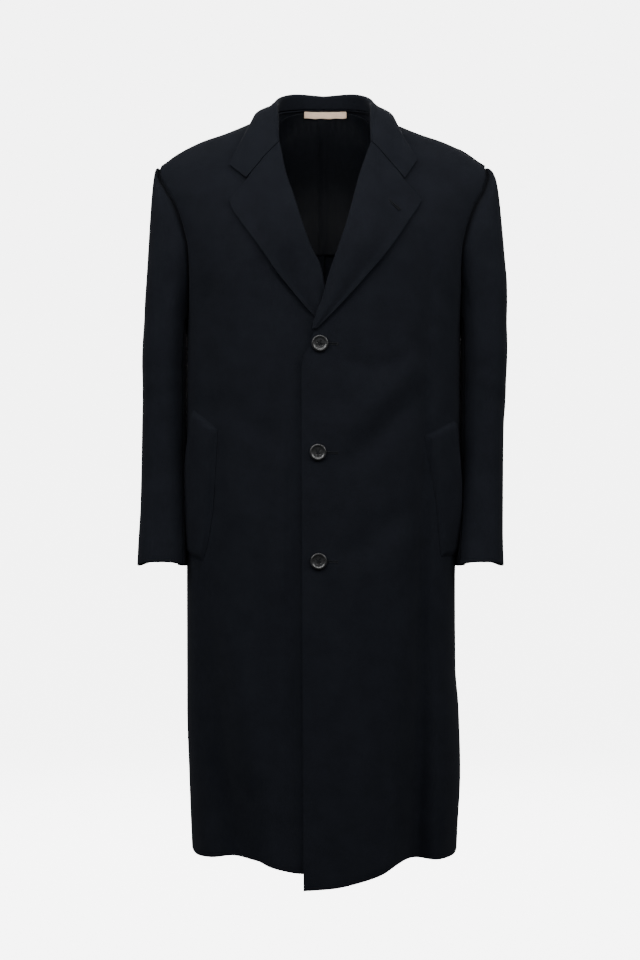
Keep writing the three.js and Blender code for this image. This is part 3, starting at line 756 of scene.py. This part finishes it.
def make_lapel(side):
    sign = SIDES[side]
    table = LAPEL[side]
    roll, outer = edge_curve(FRONT_EDGE[side]), edge_curve(table)
    t = column(0, 1, 120)
    roll_z, outer_z = lerp(LAPEL["top"], table["z"][0], t), lerp(table["z"][-1], table["z"][0], t)
    tuck = LAPEL["tuck"] * (1 - smooth(t, 0, 0.05))
    roll_z = roll_z + tuck
    edge = roll(roll_z) + sign * LAYER
    angle = np.radians(column(0, 90, 8)).T
    turn = over_front(side, edge, roll_z, OVERLAY * np.sin(angle))
    turn[..., 0] = edge - sign * LAYER * np.cos(angle)
    under = over_front(side, edge, roll_z, -2.5 + 0 * edge)
    under[..., 0] = edge - sign * LAYER
    s = spaced(44)[None, 1:]
    belly = LAPEL["belly"] * np.sin(np.pi * np.minimum(s * 1.15, 1)) ** 1.4 * np.sin(np.pi * t) ** 0.6
    lift = OVERLAY + belly + LAPEL["edge_lift"] * s * s * np.sin(np.pi * t)
    lying_z = lerp(roll_z - tuck, outer_z, s) + tuck * (1 - smooth(s, 0.52, 0.66))
    lying = over_front(side, lerp(edge, outer(outer_z), s), lying_z, lift)
    points = np.concatenate((under, turn, lying), axis=1)
    cloth(f"lapel_{side}", points, FORWARD, *LAYERED)


stand_height = curve(COLLAR["stand"]["turn"], COLLAR["stand"]["height"])


def collar_lines(side, turn, arc_places, fall_places):
    """Lines across the collar: up the stand, over the roll and down the fall to its outer edge."""
    sign = SIDES[side]
    turn = turn[:, None]
    around, down = np.minimum(turn, 1) * np.pi / 2, np.maximum(turn - 1, 0)
    edge_x = front_edge(side)
    z = lerp(NECK["side"], COLLAR["end"], down)
    power = 2 / NECK["power"]
    neck_y = NECK["back"] * np.maximum(np.cos(around), 0) ** power
    seam = np.where(
        down[..., None] > 0,
        over_front(side, edge_x(z), z, 0 * z),
        stack(
            NECK["middle"] + sign * NECK["half"] * np.sin(around) ** power,
            neck_y,
            NECK["side"] + NECK["rise"] * neck_y / NECK["back"],
        ),
    )
    part = down[..., None]
    radial = stack(sign * np.sin(around), np.cos(around), 0 * around)
    flat = over(edge_x(z), z, "front", 1 + 0 * z) - over(edge_x(z), z, "front", 0 * z)
    out = unit(lerp(radial, flat, part))
    upright = unit(np.array((0, 0, 1)) - COLLAR["lean"] * radial)
    up = unit(lerp(upright, np.array((-sign, 0, COLLAR["lean"])), part))
    height = lerp(stand_height(turn), LAYER, down)
    radius = lerp(COLLAR["roll"]["back"], COLLAR["roll"]["front"], down)
    middle = lerp(COLLAR["middle"]["back"], COLLAR["middle"]["front"], down)

    def at(rise, off):
        return seam + up * (rise + 0.8 * down)[..., None] + out * (off + 0 * rise)[..., None]

    foot = at(lerp(SEAM_GAP, LAYER, down), -2.5)
    angle = np.radians(lerp(-90 * (1 - down), 90, arc_places[None, :]))
    arc = at(height - radius + radius * np.cos(angle), middle + radius * np.sin(angle))
    stand = lerp(foot, arc[:, :1], np.array((0, 0.2, 0.4, 0.6, 0.8))[None, :, None])
    fall = collar_fall(side, turn, fall_places[None, :], arc[:, -1:], out)
    return np.concatenate((stand, arc, fall), axis=1)


def collar_fall(side, turn, w, start, out):
    table = COLLAR[side]
    last = len(table["x"]) - 1
    side_row = COLLAR["side_row"]
    along = np.where(turn < 1, turn * side_row, lerp(side_row, last, turn - 1))
    rows = range(last + 1)
    x, drop = curve(rows, table["x"])(along), curve(rows, table["drop"])(along)
    lift = OVERLAY + COLLAR["lift"] + 0 * x
    at_back = over(x, top_of(x, "back") + np.minimum(drop, 0), "back", lift)
    at_front = over(x, top_of(x, "front") - np.maximum(drop, 0), "front", lift)
    edge = np.where((drop < 0)[..., None], at_back, at_front)
    ending = smooth(turn, COLLAR["ending_from"], 2)[..., None]
    w = w[..., None]
    point = lerp(start, edge, w) + out * COLLAR["bulge"] * 4 * w * (1 - w)
    notch_part = np.minimum(w / NOTCH_PLACE, 1)
    tip_part = np.maximum(w - NOTCH_PLACE, 0) / (1 - NOTCH_PLACE)
    to_notch = lerp(np.array(table["gorge"]), np.array(table["notch"]), notch_part)
    ends = lerp(to_notch, edge[..., ::2], tip_part)
    ended = over_front(side, ends[..., 0], ends[..., 1], OVERLAY + COLLAR["end_lift"])
    return settle(lerp(point, ended, ending))


def settle(points):
    """Moves points of the fall out until they lie clear over the body."""
    x, y, z = points[..., 0], points[..., 1], points[..., 2]
    in_front = y < 0
    lift = OVERLAY + 0.6 + 0 * x
    body = over_part(in_front, x, z, lift)
    top = np.where(in_front, top_of(x, "front"), top_of(x, "back"))
    sunk = (z <= top - 0.4) & (np.abs(y) < np.abs(body[..., 1]))
    return np.where(sunk[..., None], body, points)


def make_collar():
    turns = np.concatenate((np.linspace(0, 1, 60), np.linspace(1, 2, 50)[1:]))
    arcs, falls = np.linspace(0, 1, 8), spaced(40)[1:]
    left = collar_lines("left", turns, arcs, falls)
    right = collar_lines("right", turns[1:], arcs, falls)
    points = np.concatenate((right[::-1], left))
    cloth("collar", points, BACKWARD, *LAYERED)


sleeve_outer = {side: curve(SLEEVE["outer"]["z"], SLEEVE["outer"][side]) for side in SIDES}
sleeve_inner = {side: curve(SLEEVE["inner"]["z"], SLEEVE["inner"][side]) for side in SIDES}
sleeve_half = curve(SLEEVE["depth"]["z"], SLEEVE["depth"]["half"])
sleeve_middle = curve(SLEEVE["middle"]["z"], SLEEVE["middle"]["y"])


def sleeve_ring(side, turn, z):
    """Outer point of a sleeve: turn 0 is outermost, 90 the front, 180 beside the body."""
    outer, inner = sleeve_outer[side](z), sleeve_inner[side](z)
    cos, sin = np.cos(np.radians(turn)), np.sin(np.radians(turn))
    power = 2 / SLEEVE["square"]
    crease = crease_depth(turn, z, SLEEVE_CREASES)
    x = (outer + inner) / 2 + ((outer - inner) / 2 - crease) * np.sign(cos) * np.abs(cos) ** power
    off = -(sleeve_half(z) - crease) * np.sign(sin) * np.abs(sin) ** power
    drop = SLEEVE["corner_drop"] * cos * cos + off * SLEEVE["pitch"]
    height = z - drop * smooth(-z, -SLEEVE["shaped_below"], -SLEEVE["cuff"])
    return stack(SIDES[side] * x, sleeve_middle(z) + off, height)


def armhole_point(side, turn):
    sign = SIDES[side]
    cos = np.cos(np.radians(turn))
    z = lerp(UNDERARM, SHOULDER_TOP, (1 + cos) / 2)
    x = sign * armhole[side](z)
    front = np.sin(np.radians(turn)) >= 0
    point = np.where(front[..., None], body_point(x, z, "front"), body_point(x, z, "back"))
    point[..., 0] += sign * (SLEEVE["seam_shift"] + 1.5 * np.maximum(cos, 0))
    point[..., 2] -= 3.6 * np.maximum(cos, 0) ** 6
    return point


def make_sleeve_piece(side, name, start_turn, end_turn, columns):
    """One piece of a sleeve: lines from the armhole out over the cap and down to the cuff."""
    gap = SLEEVE_SEAM["gap"]
    turn = lerp(start_turn + gap, end_turn - gap, spaced(columns))[None, :]
    lift = np.zeros(turn.shape)
    if name == "under":
        near, past = SLEEVE_SEAM["near"], SLEEVE_SEAM["past"]
        before, after = [[start_turn - past, start_turn - near]], [[end_turn + near, end_turn + past]]
        turn = np.concatenate((before, turn, after), axis=1)
        lift = np.pad(lift, ((0, 0), (2, 2)), constant_values=-SLEEVE_SEAM["under"])
    begin = armhole_point(side, turn)
    cap = SLEEVE["cap"]
    spread = lerp(cap["top"], cap["under"], np.sin(np.radians(turn / 2)) ** 2)
    t = np.concatenate((np.linspace(0, 0.2, 12), np.linspace(0.2, 1, 62)[1:]))[:, None]
    v = t * t
    ring = sleeve_ring(side, turn, lerp(begin[..., 2], SLEEVE["cap_end"], v))
    x = lerp(begin[..., 0], ring[..., 0], v ** spread)
    y = lerp(begin[..., 1], ring[..., 1], v ** cap["depth"])
    tucked_x = np.sign(begin[..., 0]) * (np.abs(begin[..., 0]) - SEAM["allowance"])
    tucked = over_part(np.sin(np.radians(turn)) >= 0, tucked_x, begin[..., 2], -3.0 + 0 * tucked_x)
    upper = np.concatenate((tucked, stack(x, y, ring[..., 2])))
    low_t = column(0, 1, 64)[1:]
    lower = sleeve_ring(side, turn, lerp(SLEEVE["cap_end"], SLEEVE["cuff"], low_t) + 0 * turn)
    points = np.concatenate((upper, lower))
    middle_turn = np.array((start_turn + end_turn) / 2)
    out = sleeve_ring(side, middle_turn, -400.0) - sleeve_ring(side, middle_turn + 180, -400.0)
    normal = normals_of(points, out)
    at_armhole = seam_dip(np.linalg.norm(points - begin, axis=-1)) * (np.arange(len(points)) > 0)[:, None]
    degree = SLEEVE_SEAM["degree"]
    at_sides = seam_dip((turn - start_turn) * degree, (end_turn - turn) * degree)
    dip = lift + np.minimum(at_sides, at_armhole)
    inner = 2 if name == "under" else 0
    # Painted shade along the armhole and both sleeve seams.
    seam = painted_seam_shade(points, begin, points[:, inner:inner + 1], points[:, -1 - inner:][:, :1])
    points = turned_in(points + normal * dip[..., None], out, "cuff")
    cloth(f"sleeve_{side}_{name}", points, out, seam=seam)


def make_sleeve(side):
    front, back = SLEEVE_SEAM["front"], SLEEVE_SEAM["back"]
    make_sleeve_piece(side, "upper", back - 360, front, 90)
    make_sleeve_piece(side, "under", front, back, 48)


def make_welt(side):
    seam, opened = WELT[side]["seam"], WELT[side]["open"]
    t, s = spaced(60)[:, None], spaced(18)[None, :]
    seam_z, open_z = (lerp(edge["z"][0], edge["z"][-1], t) for edge in (seam, opened))
    x, z = lerp(edge_curve(seam)(seam_z), edge_curve(opened)(open_z), s), lerp(seam_z, open_z, s)
    sewn = np.minimum(smooth(s, 0, 0.22), smooth(np.minimum(t, 1 - t), 0, 0.035))
    lift = lerp(WELT["sewn"], OVERLAY + 0.4, sewn) + WELT[side]["gape"] * s * s * np.sin(np.pi * t)
    points = over_front(side, x, z, lift)
    cloth(f"welt_{side}", points, FORWARD, WELT["thick"], WELT["soft_edge"])


def make_lining(side):
    sign = SIDES[side]
    middle = NECK["middle"] + sign * 0.1
    t, s = column(0, 1, 90), column(0, 1, 70).T
    outer = armhole[side](lerp(LINING["bottom"], SHOULDER_TOP, t)) - LINING["inset"]
    x = lerp(middle, sign * outer, s)
    drop = lerp(LINING["shoulder_drop"], LINING["neck_drop"], neck_depth(x) / NECK["back"])
    z = lerp(LINING["bottom"], top_of(x, "back") - drop, t)
    from_top = top_of(x, "back") - z
    off = np.abs(x - NECK["middle"])
    pucker, pleat, sag = LINING["pucker"], LINING["pleat"], LINING["sag"]
    puckered = np.exp(-(((from_top - pucker["below"]) / pucker["reach"]) ** 2)) * (off < pucker["within"])
    pleated = np.exp(-((off / pleat["reach"]) ** 2)) * smooth(z - LINING["bottom"], 0, pleat["fade"])
    sagging = np.exp(-(((off - sag["middle"]) / sag["reach"]) ** 2))
    lift = LINING_LIFT - pleat["depth"] * pleated
    lift = lift + pucker["depth"] * np.sin(x * 0.55 + 0.03 * z) * puckered
    lift = lift + sag["depth"] * np.sin(z * 0.045 + 0.02 * x * sign) * sagging
    points = with_allowance(over(x, z, "back", lift), side, LINING_LIFT - 1)
    cloth(f"lining_{side}", points, BACKWARD, LINING["wall"], 0.2, "lining")


def make_label():
    t, s = column(0, 1, 9), column(0, 1, 60).T
    x = LABEL["middle"] + LABEL["width"] * (s - 0.5) + 0 * t
    z = LABEL["top"] - LABEL["height"] * t + 0.4 * np.sin(s * 19) * t
    points = over(x, z, "back", LABEL_LIFT + 0.3 * np.sin(s * 31) * (1 - t))
    cloth("label", points, BACKWARD, LABEL["wall"], 0.15, "label")


def spun(outline, axis, steps):
    """A bmesh made by turning an outline all round an axis."""
    bm = bmesh.new()
    verts = [bm.verts.new(point) for point in outline]
    edges = [bm.edges.new(pair) for pair in zip(verts[:-1], verts[1:])]
    bmesh.ops.spin(bm, geom=verts + edges, cent=(0, 0, 0), axis=axis, angle=2 * np.pi, steps=steps,
                   use_merge=True)
    bmesh.ops.remove_doubles(bm, verts=bm.verts, dist=1e-6)
    return bm


def make_button(name, x, z):
    """A four-hole button with a raised rim, a dished middle and its sewing thread."""
    seat = body_point(np.array(float(x)), np.array(float(z)), "front")
    bm = spun([(radius * MM, -height * MM, 0) for radius, height in BUTTON["outline"]], (0, 1, 0), 72)
    bmesh.ops.recalc_face_normals(bm, faces=bm.faces)
    bmesh.ops.translate(bm, vec=Vector((x, seat[1] - BUTTON["sunk"], z)) * MM, verts=bm.verts)
    button = finished(f"button_{name}_horn", bm, "button", f"button_{name}")
    first_turn = BUTTON["turn"][name] + np.pi / 4
    hole, ring = BUTTON["hole"] * MM, BUTTON["hole_ring"]
    holes = bmesh.new()
    for angle in first_turn + np.arange(4) * np.pi / 2:
        centre = Vector((x + ring * np.cos(angle), seat[1] - 2, z + ring * np.sin(angle))) * MM
        matrix = Matrix.Translation(centre) @ Matrix.Rotation(np.pi / 2, 4, "X")
        bmesh.ops.create_cone(holes, cap_ends=True, segments=20, radius1=hole, radius2=hole,
                              depth=12 * MM, matrix=matrix)
    cutter = meshed("cutter", holes)
    cut = button.modifiers.new("holes", "BOOLEAN")
    cut.operation = "DIFFERENCE"
    cut.object = cutter
    bpy.context.view_layer.update()
    evaluated = button.evaluated_get(bpy.context.evaluated_depsgraph_get())
    button.data = bpy.data.meshes.new_from_object(evaluated)
    button.modifiers.clear()
    bpy.data.objects.remove(cutter)
    threads = bmesh.new()
    for k in (0, 1):
        lie = Matrix.Rotation(-first_turn - k * np.pi / 2, 4, "Y")
        higher = THREAD["crossing"] * k
        shape = Matrix.Diagonal((THREAD["half"], THREAD["thick"] + higher, THREAD["wide"], 1))
        centre = Vector((x, seat[1] - THREAD["height"] - higher, z)) * MM
        for strand in THREAD["strands"]:
            shift = Matrix.Translation(Vector((0, 0, strand * MM)))
            matrix = Matrix.Translation(centre) @ lie @ shift @ shape
            bmesh.ops.create_uvsphere(threads, u_segments=12, v_segments=8, radius=MM, matrix=matrix)
    finished(f"button_{name}_thread", threads, "thread")


def stitch(bm, point, across, normal, along, shape):
    """One small stitch at a point, from its three directions and half sizes."""
    turn = Matrix((across, normal, along)).transposed().to_4x4()
    matrix = Matrix.Translation(Vector(point * MM)) @ turn @ Matrix.Diagonal((*shape, 1))
    bmesh.ops.create_uvsphere(bm, u_segments=6, v_segments=5, radius=MM, matrix=matrix)


def make_buttonhole(name, start, end, lift):
    """A worked buttonhole: two rows of close stitches round a slit, closed at both ends."""
    start, end = np.array(start, float), np.array(end, float)
    way = end - start
    across = np.array((-way[1], way[0])) / np.hypot(*way)
    half, bar, wide = BUTTONHOLE["half"], BUTTONHOLE["bar"], BUTTONHOLE["thread"]
    places = column(0, 1, int(np.hypot(*way) / BUTTONHOLE["spacing"]))
    ends = column(-BUTTONHOLE["end"], BUTTONHOLE["end"], 6)
    rows = [lerp(start, end, places) + across * off for off in (-half, half)]
    rows += [spot + across * ends for spot in (start, end)]
    bm = bmesh.new()
    for flat, length in zip(rows, (half, half, bar, bar)):
        x, z = flat.T
        laid = over(x, z, "front", lift + 0 * x)
        above = over(x, z, "front", lift + 1 + 0 * x)
        for i, (point, normal) in enumerate(zip(laid, above - laid)):
            along = unit(laid[min(i + 1, len(laid) - 1)] - laid[max(i - 1, 0)])
            stitch(bm, point, unit(np.cross(along, normal)), normal, along, (length, wide * 0.8, wide))
    return finished(name, bm, "thread")


def make_label_stitches():
    lift = LABEL_LIFT - LABEL["wall"] - 0.1
    bm = bmesh.new()
    xs = np.arange(-LABEL["width"] / 2 + 1.5, LABEL["width"] / 2 - 1, LABEL["spacing"]) + LABEL["middle"]
    for row in (1.0, LABEL["height"] - 1.0):
        zs = LABEL["top"] - row + 0 * xs
        laid = over(xs, zs, "back", lift)
        above = over(xs, zs, "back", lift - 1)
        for point, normal in zip(laid, above - laid):
            stitch(bm, point, (1, 0, 0), normal, (0, 0, 1), LABEL["stitch"])
    return finished("label_stitches", bm, "tape_thread")


for side_name in SIDES:
    for make in (make_front, make_back, make_lapel, make_sleeve, make_welt, make_lining):
        make(side_name)
make_collar()
make_label()
for button_name, (button_x, button_z) in BUTTON["places"].items():
    make_button(button_name, button_x, button_z)
    hole_start, hole_end = (button_x + BUTTONHOLE["start"], button_z), (BUTTONHOLE["reach"], button_z - 1)
    make_buttonhole(f"buttonhole_{button_name}", hole_start, hole_end, 0.1)
lapel_hole = make_buttonhole("buttonhole_lapel", LAPEL_HOLE["start"], LAPEL_HOLE["end"],
                             OVERLAY + LAPEL_HOLE["lift"])
label_stitches = make_label_stitches()


# Studio, in metres: the floor's half section as radius and height, the lamps, the sky and the camera
FLOOR = {
    "outline": ((0, -1.52), (5, -1.52), (6.2, -1.45), (7.2, -1.1), (7.8, -0.3), (8, 1), (8, 9)),
    "grey": 0.72,
    "glow": 5.5,
}
LIGHTS = {
    "side_right": {"place": (-1.9, -1.7, 1.0), "aim": (0, 0, -0.2), "size": (1.4, 1.4), "power": 62},
    "side_left": {"place": (1.9, -1.7, 1.0), "aim": (0, 0, -0.2), "size": (1.4, 1.4), "power": 60},
    "front_top": {"place": (-0.1, -1.8, 1.5), "aim": (0, 0, -0.05), "size": (2.0, 1.2), "power": 58},
    "back": {"place": (0, 2.3, 0.6), "aim": (0, 0, -0.55), "size": (2.6, 1.8), "power": 115},
}
SKY = {"below": 0.0, "above": 0.62}
CAMERA = {"place": (-0.003, -2.8, -0.579), "lens": 65.6, "sensor": 36}


def make_floor():
    """A pale floor that sweeps up into a plain wall all round. It adds no light of its own to the coat."""
    bm = spun([(radius, 0, height) for radius, height in FLOOR["outline"]], (0, 0, 1), 64)
    paint = Finish("studio_paint", Roughness=0.9, Specular_IOR_Level=0.1)
    paint.surface.inputs["Base Color"].default_value = (*[FLOOR["grey"]] * 3, 1)
    paint.surface.inputs["Emission Color"].default_value = (1, 1, 1, 1)
    paint.surface.inputs["Emission Strength"].default_value = FLOOR["glow"]
    floor = meshed("studio_floor", bm, paint.material)
    floor.data.shade_smooth()
    floor.visible_diffuse = False
    floor.visible_glossy = False


def add_light(name, place, aim, size, power):
    light = bpy.data.lights.new(name, "AREA")
    light.shape = "RECTANGLE"
    light.size, light.size_y = size
    light.energy = power
    lamp = added(name, light)
    lamp.location = place
    lamp.rotation_euler = (Vector(aim) - Vector(place)).to_track_quat("-Z", "Y").to_euler()


def make_sky():
    """Soft light from all round, stronger from above."""
    world = bpy.data.worlds.new("studio")
    world.use_nodes = True
    tree = world.node_tree
    place = tree.nodes.new("ShaderNodeTexCoord")
    split = tree.nodes.new("ShaderNodeSeparateXYZ")
    ramp = tree.nodes.new("ShaderNodeMapRange")
    for i, value in enumerate((-1, 1, SKY["below"], SKY["above"]), 1):
        ramp.inputs[i].default_value = value
    tree.links.new(place.outputs["Generated"], split.inputs[0])
    tree.links.new(split.outputs["Z"], ramp.inputs[0])
    tree.links.new(ramp.outputs[0], tree.nodes["Background"].inputs["Strength"])
    tree.nodes["Background"].inputs["Color"].default_value = (1, 1, 1, 1)
    bpy.context.scene.world = world


make_floor()
make_sky()
for light_name, light in LIGHTS.items():
    add_light(light_name, **light)

camera = bpy.data.cameras.new("camera")
camera.sensor_width = CAMERA["sensor"]
camera.lens = CAMERA["lens"]
viewer = added("camera", camera)
viewer.location = CAMERA["place"]
viewer.rotation_euler = (np.pi / 2, 0, 0)
bpy.context.scene.camera = viewer
